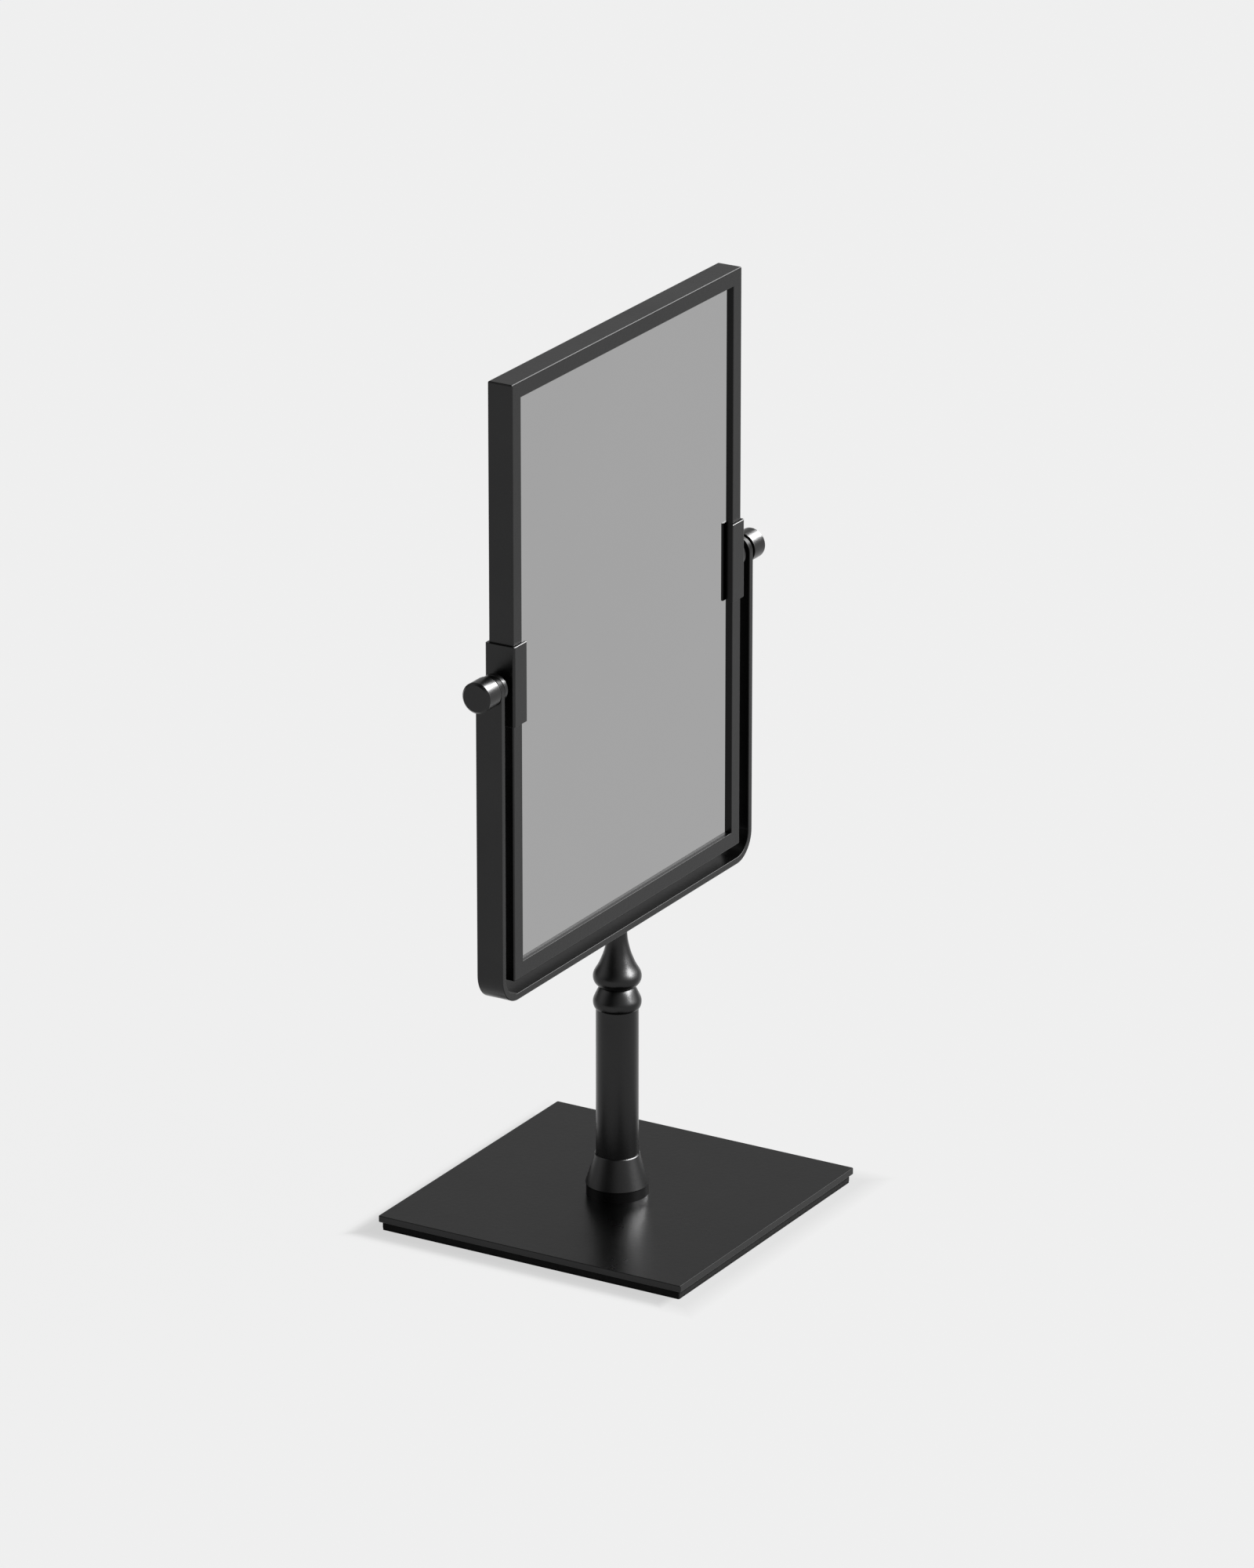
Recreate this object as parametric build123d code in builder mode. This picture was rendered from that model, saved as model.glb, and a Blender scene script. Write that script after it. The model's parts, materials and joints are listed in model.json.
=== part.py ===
from build123d import *
import os

os.makedirs("parts", exist_ok=True)

# ---------------------------------------------------------------------------
# Table-top tilting make-up mirror.  Millimetres, +Z up.
# Origin: centre of the underside of the base.  The plain mirror faces -Y, the
# magnifying mirror faces +Y, and the tilt axis is parallel to X.
# ---------------------------------------------------------------------------

# --- base -------------------------------------------------------------------
BASE_W = 171.4            # square top plate
PLATE_T = 3.4
PLINTH_W = 168.6          # ballast and pad, set in under the plate
BALLAST_T = 3.3
PAD_T = 1.05
EDGE_R = 0.4              # softened edges of the plate and the flat bar

# --- column -----------------------------------------------------------------
TUBE_R = 10.58
TUBE_WALL = 1.5
TUBE_TOP = 105.8
FOOT_R = 15.5             # locating ring under the cone
FOOT_TOP = 13.0
CONE_R0 = 15.8
CONE_R1 = 11.2
CONE_TOP = 28.9
SLIP = 0.06               # radial clearance of the rings on the tube
ROD_R = 4.0
ROD_TOP = 133.0
BEAD_TOP = 117.05

# --- yoke -------------------------------------------------------------------
YOKE_X = 119.7            # outer half width
BAR_T = 3.32
BAR_W = 14.32
YOKE_Z = 147.45           # underside
YOKE_R = 14.3             # outer bend radius
PIVOT_Z = 307.5
PIN_R = 3.0               # M6 stud
PIN_CLEAR = 0.05

# --- mirror head ------------------------------------------------------------
FRAME_W = 216.3
FRAME_Z0 = 157.35
FRAME_Z1 = 457.2
FRAME_D = 13.5
BEZEL = 8.08
LIP_T = 2.0
WALL_T = 1.6
FRAME_R = 0.8
GLASS_T = 2.0
GLASS_HX = 102.5
GLASS_HZ = 144.4
BOARD_T = 1.2
MAG_R = 4260.0            # radius of the concave reverse mirror
MAG_Y = 0.66              # its lowest point, on the axis
LUG_W = 3.5
LUG_L = 12.0
LUG_Z = 118.0             # side lugs, above and below the middle
LUG_X = 70.0              # top and bottom lugs, left and right of the middle
SCREW_R = 1.0             # M2
SCREW_HEAD_R = 1.9

# --- pivot brackets, spacers, knobs ------------------------------------------
CLIP_T = 1.4
CLIP_H = 40.3
CLIP_X_IN = 97.8          # free edge of the front and rear flanges
CLIP_Z = 307.4
NECK_R = 4.65
SPACER_FLANGE_R = 7.16
SPACER_FLANGE_T = 2.9
FACE_GAP = 0.05           # running gap at each face of the yoke arm
WASHER_R = 5.2
WASHER_T = 0.9
KNOB_R = 7.75
KNOB_L = 10.95
KNOB_CHAMFER = 1.1
STUD_HEAD_R = 4.5
STUD_HEAD_T = 1.6

# --- derived ------------------------------------------------------------------
HX = FRAME_W / 2
HZ = (FRAME_Z1 - FRAME_Z0) / 2
MID_Z = (FRAME_Z1 + FRAME_Z0) / 2
HD = FRAME_D / 2
PLATE_Z0 = PAD_T + BALLAST_T
BASE_TOP = PLATE_Z0 + PLATE_T
CAV_X = HX - WALL_T
CAV_Z = HZ - WALL_T
WIN_X = HX - BEZEL
WIN_Z = HZ - BEZEL
CLIP_OUT = HX + CLIP_T
ARM_IN = YOKE_X - BAR_T
SPACER_END = ARM_IN - FACE_GAP
WASHER_IN = YOKE_X + FACE_GAP
KNOB_IN = WASHER_IN + WASHER_T
KNOB_OUT = KNOB_IN + KNOB_L
STUD_END = KNOB_IN + 6.4
LUG_SPOTS_SIDE = [(sx * (CAV_X - LUG_W / 2), MID_Z + sz * LUG_Z) for sx in (-1, 1) for sz in (-1, 1)]
LUG_SPOTS_RAIL = [(sx * LUG_X, MID_Z + sz * (CAV_Z - LUG_W / 2)) for sx in (-1, 1) for sz in (-1, 1)]
SCREW_SPOTS = [(sx * (CAV_X - 2.1), MID_Z + sz * LUG_Z) for sx in (-1, 1) for sz in (-1, 1)] + \
              [(sx * LUG_X, MID_Z + sz * (CAV_Z - 2.1)) for sx in (-1, 1) for sz in (-1, 1)]


def plane_y(y):
    """Plane square to Y at the given y, local x = +X, local y = +Z, normal -Y."""
    return Plane(origin=(0, y, 0), x_dir=(1, 0, 0), z_dir=(0, -1, 0))


def plane_x(x, outward=1):
    """Plane square to X on the tilt axis; the normal points outward (+1 or -1 along X)."""
    return Plane(origin=(x, 0, PIVOT_Z), x_dir=(0, 1, 0), z_dir=(outward, 0, 0))


# ============================================================ base
with BuildPart() as base_pad:
    with BuildSketch(Plane.XY):
        RectangleRounded(PLINTH_W - 0.2, PLINTH_W - 0.2, 0.8)
    extrude(amount=PAD_T)
base_pad.part.label = "base_pad"

with BuildPart() as base_ballast:
    with BuildSketch(Plane.XY.offset(PAD_T)):
        RectangleRounded(PLINTH_W, PLINTH_W, 0.8)
        Circle(9.0, mode=Mode.SUBTRACT)
    extrude(amount=BALLAST_T)
    chamfer(base_ballast.faces().sort_by(Axis.Z)[0].outer_wire().edges(), 0.1)
base_ballast.part.label = "base_ballast"

with BuildPart() as base_plate:
    with BuildSketch(Plane.XY.offset(PLATE_Z0)):
        RectangleRounded(BASE_W, BASE_W, 0.8)
        Circle(3.2, mode=Mode.SUBTRACT)
    extrude(amount=PLATE_T)
    fillet(base_plate.faces().sort_by(Axis.Z)[-1].outer_wire().edges(), EDGE_R)
    fillet(base_plate.faces().sort_by(Axis.Z)[0].outer_wire().edges(), EDGE_R)
base_plate.part.label = "base_plate"

with BuildPart() as base_washer:
    with BuildSketch(Plane.XY.offset(PLATE_Z0 - 0.8)):
        Circle(6.0)
        Circle(3.2, mode=Mode.SUBTRACT)
    extrude(amount=0.8)
base_washer.part.label = "base_washer"

with BuildPart() as base_screw:
    with BuildSketch(Plane.XY.offset(PLATE_Z0 - 0.8 - 2.3)):
        Circle(5.25)
    extrude(amount=2.3)
    chamfer(base_screw.faces().sort_by(Axis.Z)[0].edges(), 0.4)
    with BuildSketch(Plane.XY.offset(PLATE_Z0 - 0.8)):
        Circle(PIN_R)
    extrude(amount=0.8 + PLATE_T + 12.0)
    with BuildSketch(Plane.XY.offset(PLATE_Z0 - 0.8 - 2.3)):
        RegularPolygon(radius=2.0, side_count=6, major_radius=False)
    extrude(amount=1.5, mode=Mode.SUBTRACT)
base_screw.part.label = "base_screw"

# ============================================================ column
with BuildPart() as tie_rod:
    with BuildSketch(Plane.XY.offset(BASE_TOP)):
        Circle(ROD_R)
    extrude(amount=ROD_TOP - BASE_TOP)
    chamfer(tie_rod.faces().sort_by(Axis.Z)[-1].edges(), 0.6)
    with BuildSketch(Plane.XY.offset(BASE_TOP)):
        Circle(PIN_R)
    extrude(amount=16.0, mode=Mode.SUBTRACT)
tie_rod.part.label = "tie_rod"

with BuildPart() as collar_foot:
    with BuildSketch(Plane.XY.offset(BASE_TOP)):
        Circle(FOOT_R)
        Circle(TUBE_R + SLIP, mode=Mode.SUBTRACT)
    extrude(amount=FOOT_TOP - BASE_TOP)
collar_foot.part.label = "collar_foot"

with BuildPart() as base_collar:
    with BuildSketch(Plane.XZ):
        with BuildLine():
            Polyline(
                (TUBE_R + SLIP, FOOT_TOP),
                (CONE_R0 - 0.35, FOOT_TOP),
                (CONE_R0, FOOT_TOP + 0.45),
                (CONE_R1, CONE_TOP - 0.35),
                (CONE_R1 - 0.3, CONE_TOP),
                (TUBE_R + SLIP, CONE_TOP),
                close=True,
            )
        make_face()
    revolve(axis=Axis.Z)
base_collar.part.label = "base_collar"

with BuildPart() as column_tube:
    with BuildSketch(Plane.XY.offset(BASE_TOP)):
        Circle(TUBE_R)
        Circle(TUBE_R - TUBE_WALL, mode=Mode.SUBTRACT)
    extrude(amount=TUBE_TOP - BASE_TOP)
column_tube.part.label = "column_tube"

# turned ring with a pear-shaped outline; its spigot centres the tube
with BuildPart() as column_bead:
    with BuildSketch(Plane.XZ):
        with BuildLine():
            s1 = Spline(
                (10.6, TUBE_TOP), (11.05, 106.15), (11.43, 106.7), (11.72, 107.45), (11.91, 108.3),
                (11.98, 109.25), (11.8, 110.6), (11.22, 112.1), (10.44, 113.8), (9.8, 115.1),
                (8.6, BEAD_TOP),
            )
            Polyline(s1 @ 1, (ROD_R, BEAD_TOP), (ROD_R, 98.0), (TUBE_R - TUBE_WALL - 0.06, 98.0),
                     (TUBE_R - TUBE_WALL - 0.06, TUBE_TOP), s1 @ 0)
        make_face()
    revolve(axis=Axis.Z)
column_bead.part.label = "column_bead"

# bulb and slender neck, threaded on the rod, its spigot riveted into the yoke
with BuildPart() as finial:
    with BuildSketch(Plane.XZ):
        with BuildLine():
            s2 = Spline(
                (8.2, BEAD_TOP), (9.3, 117.69), (10.42, 118.55), (11.27, 119.67), (11.82, 120.98),
                (12.0, 122.35), (11.86, 123.7), (11.4, 125.0), (10.48, 126.65), (9.26, 128.8),
                (8.1, 131.4), (6.95, 134.4), (5.97, 137.9), (5.2, 141.8), (4.93, 145.0),
                (4.8, YOKE_Z),
            )
            Polyline(s2 @ 1, (PIN_R, YOKE_Z), (PIN_R, YOKE_Z + BAR_T), (0, YOKE_Z + BAR_T),
                     (0, ROD_TOP + 0.6), (ROD_R, ROD_TOP + 0.6), (ROD_R, BEAD_TOP), s2 @ 0)
        make_face()
    revolve(axis=Axis.Z)
finial.part.label = "finial"

# ============================================================ yoke
with BuildPart() as yoke:
    with BuildSketch(Plane.XZ) as yoke_profile:
        with BuildLine():
            Polyline(
                (-YOKE_X, PIVOT_Z + 10), (-YOKE_X, YOKE_Z), (YOKE_X, YOKE_Z), (YOKE_X, PIVOT_Z + 10),
                (ARM_IN, PIVOT_Z + 10), (ARM_IN, YOKE_Z + BAR_T), (-ARM_IN, YOKE_Z + BAR_T),
                (-ARM_IN, PIVOT_Z + 10), close=True,
            )
        make_face()
        fillet(yoke_profile.vertices().filter_by(lambda v: v.Y < YOKE_Z + 1), YOKE_R)
        fillet(yoke_profile.vertices().filter_by(
            lambda v: abs(v.Y - YOKE_Z - BAR_T) < 0.01 and abs(abs(v.X) - ARM_IN) < 0.01), YOKE_R - BAR_T)
    extrude(amount=BAR_W / 2, both=True)
    with BuildSketch(Plane.YZ):
        with Locations((0, PIVOT_Z)):
            Circle(BAR_W / 2)
        with Locations((0, (PIVOT_Z + YOKE_Z - 5) / 2)):
            Rectangle(BAR_W, PIVOT_Z - YOKE_Z + 5)
    extrude(amount=YOKE_X + 5, both=True, mode=Mode.INTERSECT)
    fillet(yoke.edges().filter_by(
        lambda e: abs(abs(e.center().Y) - BAR_W / 2) < 1e-3 or
        (e.center().Z > PIVOT_Z + 2 and e.geom_type == GeomType.CIRCLE)), EDGE_R)
    with BuildSketch(plane_x(0)):
        Circle(PIN_R + PIN_CLEAR)
    extrude(amount=YOKE_X + 5, both=True, mode=Mode.SUBTRACT)
    with BuildSketch(Plane.XY.offset(YOKE_Z - 1)):
        Circle(PIN_R)
    extrude(amount=BAR_T + 2, mode=Mode.SUBTRACT)
yoke.part.label = "yoke"

# ============================================================ mirror head
with BuildPart() as mirror_frame:
    with BuildSketch(plane_y(HD)):
        with Locations((0, MID_Z)):
            Rectangle(FRAME_W, 2 * HZ)
    extrude(amount=FRAME_D)
    fillet(mirror_frame.edges(), FRAME_R)
    with BuildSketch(plane_y(HD)):
        with Locations((0, MID_Z)):
            Rectangle(2 * CAV_X, 2 * CAV_Z)
    extrude(amount=FRAME_D - LIP_T, mode=Mode.SUBTRACT)
    with BuildSketch(plane_y(HD)):
        with Locations((0, MID_Z)):
            Rectangle(2 * WIN_X, 2 * WIN_Z)
    extrude(amount=FRAME_D + 1, mode=Mode.SUBTRACT)
    fillet(mirror_frame.faces().sort_by(Axis.Y)[0].inner_wires()[0].edges(), 0.3)
    with BuildSketch(plane_x(0)):
        Circle(PIN_R + PIN_CLEAR)
    extrude(amount=HX + 5, both=True, mode=Mode.SUBTRACT)
mirror_frame.part.label = "mirror_frame"

# tapped blocks welded inside the frame, beside the glass
with BuildPart() as frame_lugs:
    with BuildSketch(plane_y(HD - LIP_T)):
        with Locations(*LUG_SPOTS_SIDE):
            Rectangle(LUG_W, LUG_L)
        with Locations(*LUG_SPOTS_RAIL):
            Rectangle(LUG_L, LUG_W)
    extrude(amount=FRAME_D - 2 * LIP_T)
    with BuildSketch(plane_y(HD - LIP_T)):
        with Locations(*SCREW_SPOTS):
            Circle(SCREW_R)
    extrude(amount=6.5, mode=Mode.SUBTRACT)
frame_lugs.part.label = "frame_lugs"

FRONT_Y = -HD + LIP_T                      # outer face of the front glass
with BuildPart() as front_mirror_glass:
    with BuildSketch(plane_y(FRONT_Y + GLASS_T)):
        with Locations((0, MID_Z)):
            Rectangle(2 * GLASS_HX, 2 * GLASS_HZ)
    extrude(amount=GLASS_T)
    chamfer(front_mirror_glass.faces().sort_by(Axis.Y)[0].edges(), 0.3)
front_mirror_glass.part.label = "front_mirror_glass"

BOARD_Y = FRONT_Y + GLASS_T + BOARD_T
with BuildPart() as backing_board:
    with BuildSketch(plane_y(BOARD_Y)):
        with Locations((0, MID_Z)):
            Rectangle(2 * GLASS_HX - 0.6, 2 * GLASS_HZ - 0.6)
    extrude(amount=BOARD_T)
backing_board.part.label = "backing_board"

# shallow concave glass of even thickness, bent about a point far in front of it
with BuildPart() as magnifying_mirror_glass:
    with BuildSketch(plane_y(HD)):
        with Locations((0, MID_Z)):
            Rectangle(2 * GLASS_HX, 2 * GLASS_HZ)
    extrude(amount=FRAME_D)
    with Locations((0, MAG_Y + MAG_R, MID_Z)):
        Sphere(MAG_R + GLASS_T, mode=Mode.INTERSECT)
    with Locations((0, MAG_Y + MAG_R, MID_Z)):
        Sphere(MAG_R, mode=Mode.SUBTRACT)
magnifying_mirror_glass.part.label = "magnifying_mirror_glass"

# foam ring that carries the rim of the curved glass on the flat board
with BuildPart() as glass_spacer_frame:
    with BuildSketch(plane_y(HD - LIP_T)):
        with Locations((0, MID_Z)):
            Rectangle(2 * GLASS_HX - 1, 2 * GLASS_HZ - 1)
            Rectangle(2 * GLASS_HX - 17, 2 * GLASS_HZ - 17, mode=Mode.SUBTRACT)
    extrude(amount=HD - LIP_T - BOARD_Y)
    with Locations((0, MAG_Y + MAG_R, MID_Z)):
        Sphere(MAG_R + GLASS_T, mode=Mode.SUBTRACT)
glass_spacer_frame.part.label = "glass_spacer_frame"

# glazing strip between the rim of the curved glass and the rear frame
with BuildPart() as rear_gasket:
    with BuildSketch(plane_y(HD - LIP_T)):
        with Locations((0, MID_Z)):
            Rectangle(2 * GLASS_HX, 2 * GLASS_HZ)
            Rectangle(2 * WIN_X + 0.8, 2 * WIN_Z + 0.8, mode=Mode.SUBTRACT)
    extrude(amount=6.0)
    with Locations((0, MAG_Y + MAG_R, MID_Z)):
        Sphere(MAG_R, mode=Mode.INTERSECT)
rear_gasket.part.label = "rear_gasket"

with BuildPart() as rear_retaining_frame:
    with BuildSketch(plane_y(HD)):
        with Locations((0, MID_Z)):
            Rectangle(2 * CAV_X - 0.1, 2 * CAV_Z - 0.1)
            Rectangle(2 * WIN_X, 2 * WIN_Z, mode=Mode.SUBTRACT)
    extrude(amount=LIP_T)
    fillet(rear_retaining_frame.faces().sort_by(Axis.Y)[-1].inner_wires()[0].edges(), 0.3)
    chamfer(rear_retaining_frame.faces().sort_by(Axis.Y)[-1].outer_wire().edges(), 0.2)
    for x, z in SCREW_SPOTS:
        with Locations(Plane(origin=(x, HD, z), x_dir=(1, 0, 0), z_dir=(0, 1, 0))):
            CounterSinkHole(radius=SCREW_R + 0.05, counter_sink_radius=SCREW_HEAD_R, depth=LIP_T + 1,
                            counter_sink_angle=90)
rear_retaining_frame.part.label = "rear_retaining_frame"

with BuildPart() as retaining_screws:
    HEAD_Y = HD - 0.06
    for x, z in SCREW_SPOTS:
        with BuildSketch(Plane(origin=(x, 0, z), x_dir=(1, 0, 0), z_dir=(0, 0, 1))):
            with BuildLine():
                Polyline((0, HEAD_Y), (SCREW_HEAD_R - 0.1, HEAD_Y), (SCREW_R, HEAD_Y - SCREW_HEAD_R + 0.1 + SCREW_R),
                         (SCREW_R, HEAD_Y - 7.0), (0, HEAD_Y - 7.0), close=True)
            make_face()
        revolve(axis=Axis((x, 0, z), (0, 1, 0)))
        with BuildSketch(plane_y(HEAD_Y)):
            with Locations((x, z)):
                Rectangle(2.1, 0.42)
                Rectangle(0.42, 2.1)
        extrude(amount=0.8, mode=Mode.SUBTRACT)
retaining_screws.part.label = "retaining_screws"


# ============================================================ pivots, left and right
def side_pieces(s):
    """Clip, stud, spacer, washer and knob of one side; s = -1 left, +1 right (seen from the front)."""
    name = "left" if s < 0 else "right"

    # channel-shaped clip that wraps the frame's side
    with BuildPart() as clip:
        with BuildSketch(Plane.XY.offset(CLIP_Z - CLIP_H / 2)) as clip_profile:
            with BuildLine():
                Polyline(
                    (s * CLIP_X_IN, -HD - CLIP_T), (s * CLIP_OUT, -HD - CLIP_T),
                    (s * CLIP_OUT, HD + CLIP_T), (s * CLIP_X_IN, HD + CLIP_T),
                    (s * CLIP_X_IN, HD), (s * HX, HD), (s * HX, -HD), (s * CLIP_X_IN, -HD), close=True,
                )
            make_face()
            fillet(clip_profile.vertices().filter_by(lambda v: abs(abs(v.X) - CLIP_OUT) < 0.01), 1.3)
            fillet(clip_profile.vertices().filter_by(lambda v: abs(abs(v.X) - HX) < 0.01), 0.3)
            fillet(clip_profile.vertices().filter_by(
                lambda v: abs(abs(v.X) - CLIP_X_IN) < 0.01 and abs(abs(v.Y) - HD - CLIP_T) < 0.01), 0.4)
        extrude(amount=CLIP_H)
        chamfer(clip.faces().sort_by(Axis.Z)[-1].edges(), 0.18)
        chamfer(clip.faces().sort_by(Axis.Z)[0].edges(), 0.18)
        with BuildSketch(plane_x(s * (HX - 1), s)):
            Circle(PIN_R + PIN_CLEAR)
        extrude(amount=CLIP_T + 2, mode=Mode.SUBTRACT)
    clip.part.label = name + "_bracket"

    # low-headed stud, entered from inside the frame
    with BuildPart() as stud:
        with BuildSketch(plane_x(s * (CAV_X - STUD_HEAD_T), s)):
            Circle(STUD_HEAD_R)
        extrude(amount=STUD_HEAD_T)
        with BuildSketch(plane_x(s * CAV_X, s)):
            Circle(PIN_R)
        extrude(amount=STUD_END - CAV_X)
        chamfer(stud.faces().sort_by(Axis.X)[-1 if s > 0 else 0].edges(), 0.5)
        with BuildSketch(plane_x(s * (CAV_X - STUD_HEAD_T), s)):
            Rectangle(1.2, 10)
        extrude(amount=0.8, mode=Mode.SUBTRACT)
    stud.part.label = name + "_pivot_stud"

    # stepped spacer: the wide end sits at the arm on the left and at the clip on the right
    wide_from = CLIP_OUT if s > 0 else SPACER_END - SPACER_FLANGE_T
    with BuildPart() as spacer:
        with BuildSketch(plane_x(s * CLIP_OUT, s)):
            Circle(NECK_R)
        extrude(amount=SPACER_END - CLIP_OUT)
        with BuildSketch(plane_x(s * wide_from, s)):
            Circle(SPACER_FLANGE_R)
        extrude(amount=SPACER_FLANGE_T)
        chamfer(spacer.edges().filter_by(
            lambda e: e.geom_type == GeomType.CIRCLE and abs(e.radius - SPACER_FLANGE_R) < 0.01), 0.3)
        with BuildSketch(plane_x(s * (CLIP_OUT - 1), s)):
            Circle(PIN_R + PIN_CLEAR)
        extrude(amount=SPACER_END - CLIP_OUT + 2, mode=Mode.SUBTRACT)
    spacer.part.label = name + "_spacer"

    with BuildPart() as washer:
        with BuildSketch(plane_x(s * WASHER_IN, s)):
            Circle(WASHER_R)
            Circle(PIN_R + PIN_CLEAR, mode=Mode.SUBTRACT)
        extrude(amount=WASHER_T)
    washer.part.label = name + "_friction_washer"

    # turned knob, blind bore for the stud
    with BuildPart() as knob:
        with BuildSketch(plane_x(s * KNOB_IN, s)):
            Circle(KNOB_R)
        extrude(amount=KNOB_L)
        chamfer(knob.faces().sort_by(Axis.X)[-1 if s > 0 else 0].edges(), KNOB_CHAMFER)
        fillet(knob.faces().sort_by(Axis.X)[0 if s > 0 else -1].edges(), 0.3)
        with BuildSketch(plane_x(s * KNOB_IN, s)):
            Circle(PIN_R + PIN_CLEAR)
        extrude(amount=STUD_END - KNOB_IN + 0.6, mode=Mode.SUBTRACT)
    knob.part.label = name + "_knob"
    return [clip, stud, spacer, washer, knob]


left_side = side_pieces(-1)
right_side = side_pieces(1)

# ============================================================ export
for piece in [
    base_pad, base_ballast, base_plate, base_washer, base_screw,
    tie_rod, collar_foot, base_collar, column_tube, column_bead, finial, yoke,
    mirror_frame, frame_lugs, front_mirror_glass, backing_board, glass_spacer_frame,
    magnifying_mirror_glass, rear_gasket, rear_retaining_frame, retaining_screws,
] + left_side + right_side:
    export_step(piece.part, "parts/" + piece.part.label + ".step")
    print(piece.part.label, round(piece.part.volume, 1))
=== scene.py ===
import json
import math

import bpy
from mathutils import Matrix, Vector

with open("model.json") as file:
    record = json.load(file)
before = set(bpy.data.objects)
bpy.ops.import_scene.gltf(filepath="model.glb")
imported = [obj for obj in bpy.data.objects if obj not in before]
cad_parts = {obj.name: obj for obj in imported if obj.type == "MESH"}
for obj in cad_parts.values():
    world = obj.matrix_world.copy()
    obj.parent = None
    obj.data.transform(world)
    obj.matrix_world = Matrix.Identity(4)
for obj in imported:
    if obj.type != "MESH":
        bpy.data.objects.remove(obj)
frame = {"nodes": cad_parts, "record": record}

scene = bpy.context.scene
nodes = frame["nodes"]
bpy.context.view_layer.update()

# ---------------------------------------------------------------------------
# Tilting table mirror: satin black powder-coated metal, silvered glass, a
# weighted square base.  Metres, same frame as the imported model.
# ---------------------------------------------------------------------------

# ============================================================ camera
cam_data = bpy.data.cameras.new("camera")
cam = bpy.data.objects.new("camera", cam_data)
scene.collection.objects.link(cam)
cam.location = (-3.71944, -2.19506, 1.83640)
cam.rotation_mode = "QUATERNION"
cam.rotation_quaternion = Vector((0.80724, 0.47520, -0.35007)).to_track_quat("-Z", "Y")
cam_data.sensor_width = 36.0
cam_data.lens = 218.03
cam_data.clip_start = 0.05
cam_data.clip_end = 200.0
scene.camera = cam
scene.view_settings.view_transform = "Standard"
scene.view_settings.look = "None"

FLOOR_ALBEDO = 0.014       # the rest of the floor's paleness is its own soft glow, so wide shadows stay faint
FLOOR_GLOW = 0.849
BASE_HALF = 0.0857         # half the base plate's side, in metres, for the shadow at its edges


# ============================================================ small node helpers
class Tree:
    """Short calls for making and linking shader nodes."""

    def __init__(self, node_tree):
        self.nt = node_tree
        self.nt.nodes.clear()

    def new(self, kind, **props):
        n = self.nt.nodes.new(kind)
        for k, v in props.items():
            setattr(n, k, v)
        return n

    def link(self, a, b):
        self.nt.links.new(a, b)

    def put(self, socket, value):
        if isinstance(value, bpy.types.NodeSocket):
            self.link(value, socket)
        else:
            socket.default_value = value

    def math(self, op, a, b=0.0, clamp=False):
        n = self.new("ShaderNodeMath", operation=op, use_clamp=clamp)
        self.put(n.inputs[0], a)
        self.put(n.inputs[1], b)
        return n.outputs[0]

    def dot(self, a, b):
        n = self.new("ShaderNodeVectorMath", operation="DOT_PRODUCT")
        self.put(n.inputs[0], a)
        self.put(n.inputs[1], b)
        return n.outputs["Value"]

    def noise(self, vector, scale, detail=3.0, rough=0.5, distortion=0.0):
        n = self.new("ShaderNodeTexNoise", noise_dimensions="3D")
        self.link(vector, n.inputs["Vector"])
        n.inputs["Scale"].default_value = scale
        n.inputs["Detail"].default_value = detail
        n.inputs["Roughness"].default_value = rough
        n.inputs["Distortion"].default_value = distortion
        return n.outputs["Fac"]

    def span(self, value, lo, hi, from_lo=0.3, from_hi=0.7):
        n = self.new("ShaderNodeMapRange", clamp=True)
        self.link(value, n.inputs["Value"])
        n.inputs["From Min"].default_value = from_lo
        n.inputs["From Max"].default_value = from_hi
        n.inputs["To Min"].default_value = lo
        n.inputs["To Max"].default_value = hi
        return n.outputs["Result"]

    def tint(self, factor, a, b):
        n = self.new("ShaderNodeMix", data_type="RGBA")
        self.put(n.inputs["Factor"], factor)
        n.inputs["A"].default_value = (*a, 1.0)
        n.inputs["B"].default_value = (*b, 1.0)
        return n.outputs["Result"]

    def bump(self, height, strength, distance, normal=None):
        n = self.new("ShaderNodeBump")
        n.inputs["Strength"].default_value = strength
        n.inputs["Distance"].default_value = distance
        self.link(height, n.inputs["Height"])
        if normal is not None:
            self.link(normal, n.inputs["Normal"])
        return n.outputs["Normal"]


def material(name):
    m = bpy.data.materials.new(name)
    m.use_nodes = True
    t = Tree(m.node_tree)
    out = t.new("ShaderNodeOutputMaterial")
    shader = t.new("ShaderNodeBsdfPrincipled")
    t.link(shader.outputs["BSDF"], out.inputs["Surface"])
    where = t.new("ShaderNodeTexCoord").outputs["Object"]
    return m, t, shader, where


def powder_coat(name, smooth, rough):
    """Satin black metal finish: faint orange peel, uneven sheen, a trace of dust in the colour."""
    m, t, s, where = material(name)
    cloud = t.noise(where, 14.0, 4.0, 0.55)
    fleck = t.noise(where, 1500.0, 2.0, 0.6)
    mixed = t.math("ADD", t.math("MULTIPLY", cloud, 0.65), t.math("MULTIPLY", fleck, 0.35))
    t.link(t.tint(t.span(mixed, 0.0, 1.0, 0.35, 0.65), (0.0285, 0.0285, 0.0288), (0.0325, 0.0325, 0.0327)),
           s.inputs["Base Color"])
    t.link(t.span(t.noise(where, 38.0, 5.0, 0.6), smooth, rough), s.inputs["Roughness"])
    peel = t.noise(where, 420.0, 2.0, 0.45, 0.2)
    grain = t.noise(where, 2600.0, 2.0, 0.5)
    n = t.bump(peel, 0.10, 0.00025)
    n = t.bump(grain, 0.06, 0.00006, n)
    t.link(n, s.inputs["Normal"])
    s.inputs["Metallic"].default_value = 1.0
    return m


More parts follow.
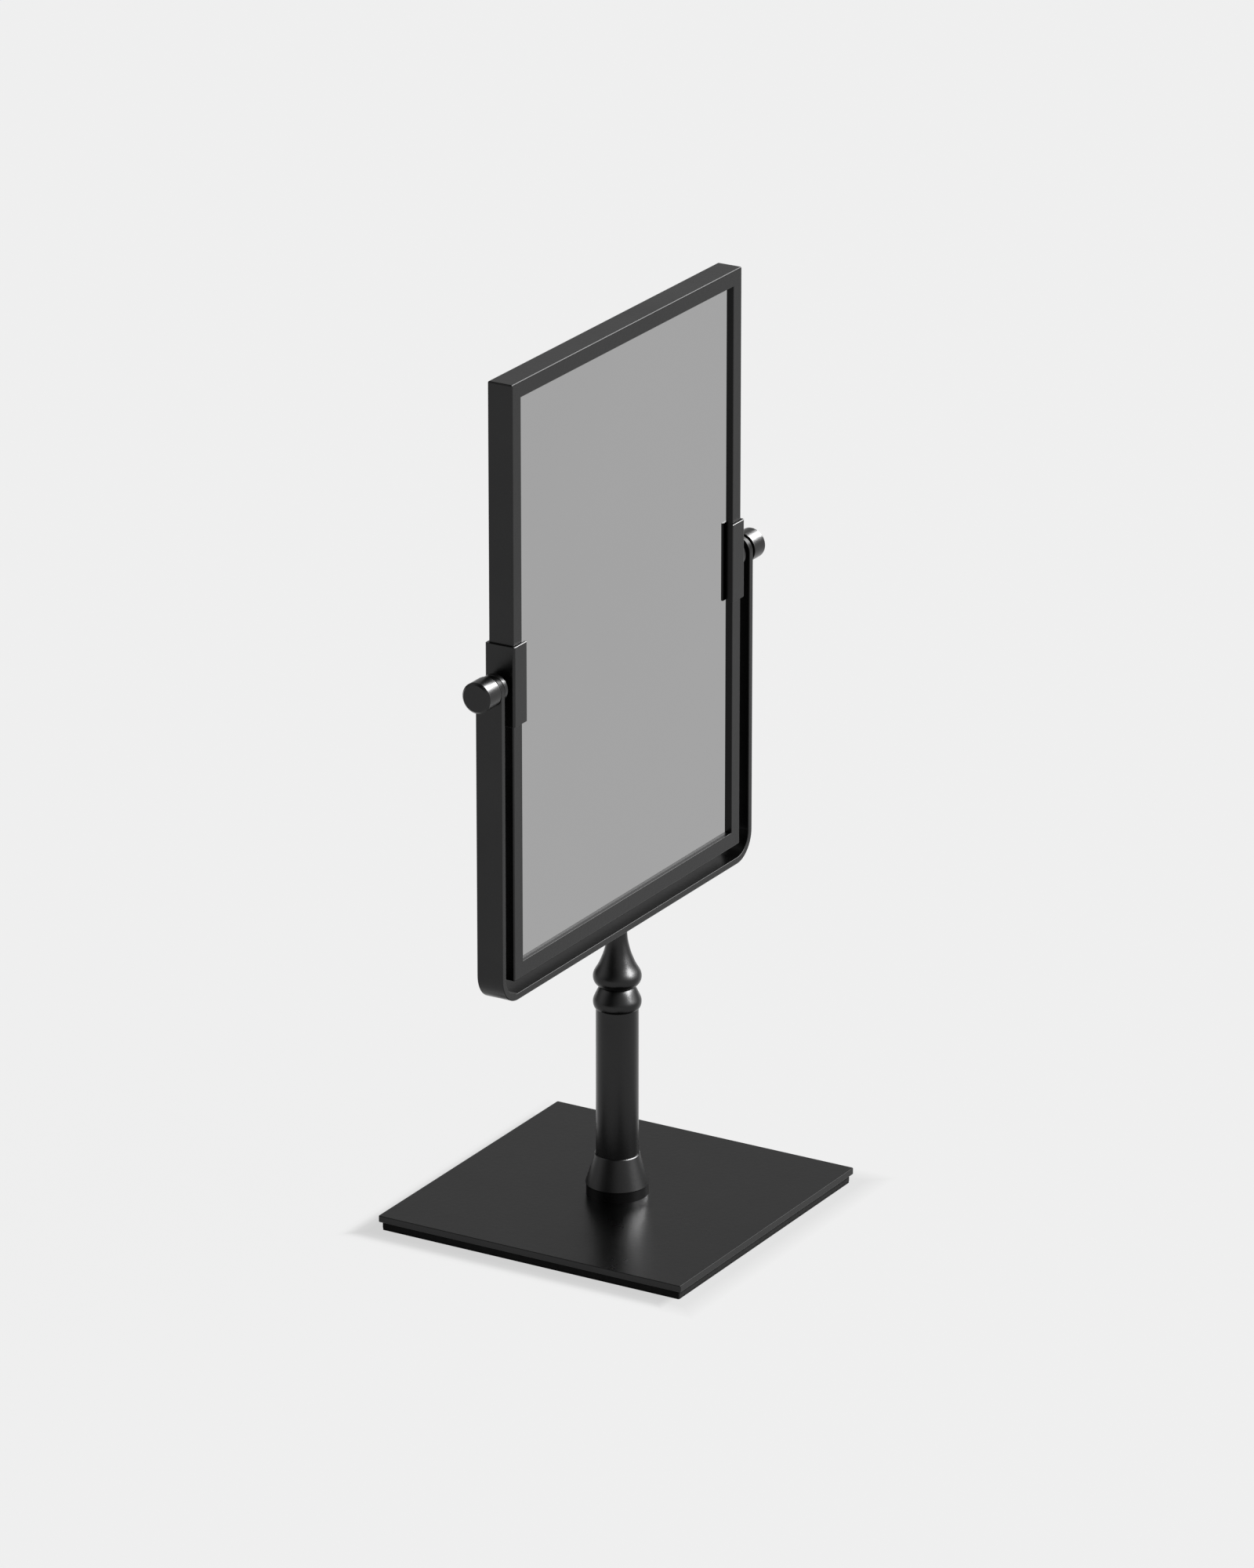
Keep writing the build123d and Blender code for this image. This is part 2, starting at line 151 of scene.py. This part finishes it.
def silvered(name, low, high):
    """Silvered glass: even reflection, with the slightest haze where it was wiped."""
    m, t, s, where = material(name)
    haze = t.noise(where, 9.0, 3.0, 0.5, 0.6)
    t.link(t.tint(t.span(haze, 0.0, 1.0), (low, low, low), (high, high, high)), s.inputs["Base Color"])
    t.link(t.span(t.noise(where, 26.0, 4.0, 0.6, 0.4), 0.004, 0.016), s.inputs["Roughness"])
    s.inputs["Metallic"].default_value = 1.0
    return m


def matt_black(name, a, b, rough, scale, bump, distance, spec):
    """Felt, rubber, foam, painted casting: dark, dull and slightly uneven."""
    m, t, s, where = material(name)
    v = t.noise(where, scale, 5.0, 0.6)
    t.link(t.tint(t.span(v, 0.0, 1.0), a, b), s.inputs["Base Color"])
    t.link(t.span(t.noise(where, scale * 0.4, 3.0, 0.5), rough - 0.06, rough + 0.06), s.inputs["Roughness"])
    t.link(t.bump(v, bump, distance), s.inputs["Normal"])
    s.inputs["Specular IOR Level"].default_value = spec
    return m


def plated_steel():
    """Zinc-plated steel, fine-turned."""
    m, t, s, where = material("zinc_plate")
    v = t.noise(where, 900.0, 4.0, 0.6)
    t.link(t.tint(t.span(v, 0.0, 1.0), (0.46, 0.46, 0.47), (0.60, 0.60, 0.62)), s.inputs["Base Color"])
    t.link(t.span(t.noise(where, 300.0, 3.0, 0.5), 0.26, 0.40), s.inputs["Roughness"])
    t.link(t.bump(v, 0.15, 0.00003), s.inputs["Normal"])
    s.inputs["Metallic"].default_value = 1.0
    return m


def board_material():
    m, t, s, where = material("grey_board")
    v = t.noise(where, 700.0, 5.0, 0.7)
    t.link(t.tint(t.span(v, 0.0, 1.0), (0.16, 0.13, 0.10), (0.26, 0.21, 0.16)), s.inputs["Base Color"])
    t.link(t.span(v, 0.82, 0.95), s.inputs["Roughness"])
    t.link(t.bump(v, 0.3, 0.0001), s.inputs["Normal"])
    return m


coat = powder_coat("powder_coat", 0.27, 0.31)
finishes = {
    "black_metal": coat,
    "plain_mirror": silvered("silvered_plain", 0.400, 0.406),
    "magnifying_mirror": silvered("silvered_magnifying", 0.400, 0.406),
    "ballast": matt_black("cast_ballast", (0.002, 0.002, 0.002), (0.004, 0.004, 0.004), 0.85, 400.0, 0.3, 0.0002, 0.10),
    "felt": matt_black("felt_pad", (0.002, 0.002, 0.002), (0.006, 0.006, 0.006), 0.94, 1800.0, 0.5, 0.0003, 0.05),
    "zinc_steel": plated_steel(),
    "black_screws": matt_black("black_oxide", (0.010, 0.010, 0.011), (0.020, 0.020, 0.021), 0.38, 900.0, 0.2, 0.00003, 0.5),
    "board": board_material(),
    "foam": matt_black("foam", (0.010, 0.010, 0.010), (0.022, 0.022, 0.022), 0.92, 2500.0, 0.6, 0.0002, 0.1),
    "gasket": matt_black("gasket_rubber", (0.006, 0.006, 0.006), (0.012, 0.012, 0.012), 0.70, 900.0, 0.2, 0.0001, 0.3),
    "washer_plastic": matt_black("black_nylon", (0.006, 0.006, 0.006), (0.010, 0.010, 0.010), 0.55, 900.0, 0.2, 0.00005, 0.4),
}
slot_of = {s["node"]: s["material_slot"] for s in frame["record"]["subparts"]}
for name, obj in nodes.items():
    for s in obj.material_slots:
        s.link = "OBJECT"
        s.material = finishes[slot_of[name]]

# ============================================================ floor
bpy.ops.mesh.primitive_plane_add(size=80.0, location=(0, 0, 0))
floor = bpy.context.active_object
floor.name = "floor"
fm, ft, fs, fw = material("pale_floor")
fs.inputs["Base Color"].default_value = (FLOOR_ALBEDO, FLOOR_ALBEDO, FLOOR_ALBEDO, 1.0)
fs.inputs["Roughness"].default_value = 1.0
fs.inputs["Specular IOR Level"].default_value = 0.0
fs.inputs["Emission Color"].default_value = (1.0, 1.0, 1.0, 1.0)
# painted shadow where the base stands: the floor's glow is dimmed a little all round the base, more on the sides away
# from the light
axes = ft.new("ShaderNodeSeparateXYZ")
ft.link(fw, axes.inputs[0])


def outside(dx, dy):
    """Distance outside the base's square, moved by dx and dy."""
    x = ft.math("ABSOLUTE", ft.math("SUBTRACT", axes.outputs["X"], dx))
    y = ft.math("ABSOLUTE", ft.math("SUBTRACT", axes.outputs["Y"], dy))
    return ft.math("SUBTRACT", ft.math("MAXIMUM", x, y), BASE_HALF)


# near and away are the painted contact shadow; lit is what is left of the floor's glow after it
near = ft.span(outside(0.0, 0.0), 0.120, 0.0, 0.004, 0.016)
away = ft.span(outside(-0.008, 0.008), 0.150, 0.0, 0.000, 0.005)
lit = ft.math("SUBTRACT", 1.0, ft.math("ADD", near, away))
ft.link(ft.math("MULTIPLY", lit, FLOOR_GLOW), fs.inputs["Emission Strength"])
floor.data.materials.append(fm)

# ============================================================ light
world = bpy.data.worlds.new("studio")
scene.world = world
world.use_nodes = True
w = Tree(world.node_tree)
out = w.new("ShaderNodeOutputWorld")
back = w.new("ShaderNodeBackground")
w.link(back.outputs[0], out.inputs["Surface"])
way = w.new("ShaderNodeVectorMath", operation="NORMALIZE")
w.link(w.new("ShaderNodeTexCoord").outputs["Generated"], way.inputs[0])
way = way.outputs["Vector"]


def lobe(direction, sharpness, strength):
    """A soft patch of light in that direction."""
    d = Vector(direction).normalized()
    near = w.math("MULTIPLY", w.math("SUBTRACT", w.dot(way, tuple(d)), 1.0), sharpness)
    return w.math("MULTIPLY", w.math("EXPONENT", near), strength)


def softbox(azimuth, elevation, half_width, half_height, edge, strength):
    """A soft-edged rectangle of light, far away; angles in degrees, azimuth from +X towards +Y."""
    a, e = math.radians(azimuth), math.radians(elevation)
    centre = Vector((math.cos(e) * math.cos(a), math.cos(e) * math.sin(a), math.sin(e)))
    across = Vector((-math.sin(a), math.cos(a), 0.0))
    rise = centre.cross(across)
    u = w.math("ABSOLUTE", w.math("DIVIDE", w.dot(way, tuple(across)), math.sin(math.radians(half_width))))
    v = w.math("ABSOLUTE", w.math("DIVIDE", w.dot(way, tuple(rise)), math.sin(math.radians(half_height))))
    inside = w.span(w.math("MAXIMUM", u, v), 1.0, 0.0, 1.0 - edge, 1.0 + edge)
    ahead = w.math("GREATER_THAN", w.dot(way, tuple(centre)), 0.0)
    return w.math("MULTIPLY", w.math("MULTIPLY", inside, ahead), strength)


def direction(azimuth, elevation):
    a, e = math.radians(azimuth), math.radians(elevation)
    return (math.cos(e) * math.cos(a), math.cos(e) * math.sin(a), math.sin(e))


room = softbox(-45, 40.5, 33, 16, 0.30, 4.0)
for azimuth, elevation, sharpness, strength in (
    (8, 50, 60, 3.0),
    (-36, 42, 12, 0.8),
    (-64, 13, 14, 2.4),
    (280, 34, 10, 1.40),
    (120, 34, 10, 0.95),
    (120, 6, 10, 0.70),
    (240, 20, 8, 0.60),
    (210, 6, 10, 0.40),
    (30, 14, 10, 0.47),
):
    room = w.math("ADD", room, lobe(direction(azimuth, elevation), sharpness, strength))
# seen directly, past the floor's far edge, the world is as pale as the floor
seen = w.new("ShaderNodeLightPath").outputs["Is Camera Ray"]
room = w.math("ADD", w.math("MULTIPLY", room, w.math("SUBTRACT", 1.0, seen)), w.math("MULTIPLY", seen, 0.863))
w.link(room, back.inputs["Strength"])
back.inputs["Color"].default_value = (1, 1, 1, 1)

# the key light: large soft panels, strong on the small round parts, weaker on the flat-sided frame and
# yoke, and none on the base plate and the floor, so that flat faces stay black when seen from behind
KEY_DISTANCE = 6.0
FLAT = ("mirror_frame", "rear_retaining_frame", "retaining_screws", "yoke")
UNLIT = ("base_plate", "front_mirror_glass", "magnifying_mirror_glass")
toward = Vector(direction(-45, 40.5))
for label, strength, chosen in (
    ("key_panel", 33.0, [n for n in nodes if n not in FLAT + UNLIT]),
    ("key_panel_flat", 6.0, [n for n in nodes if n in FLAT]),
):
    key_data = bpy.data.lights.new(label, "AREA")
    key_data.shape = "RECTANGLE"
    key_data.size = 2.0 * KEY_DISTANCE * math.tan(math.radians(35.0))
    key_data.size_y = 2.0 * KEY_DISTANCE * math.tan(math.radians(16.0))
    key_data.energy = strength * math.pi * key_data.size * key_data.size_y
    key = bpy.data.objects.new(label, key_data)
    scene.collection.objects.link(key)
    key.location = Vector((0.0, 0.0, 0.2)) + toward * KEY_DISTANCE
    key.rotation_euler = toward.to_track_quat("Z", "Y").to_euler()
    key.visible_camera = False
    lit = bpy.data.collections.new("lit_by_" + label)
    for name in chosen:
        lit.objects.link(nodes[name])
    key.light_linking.receiver_collection = lit
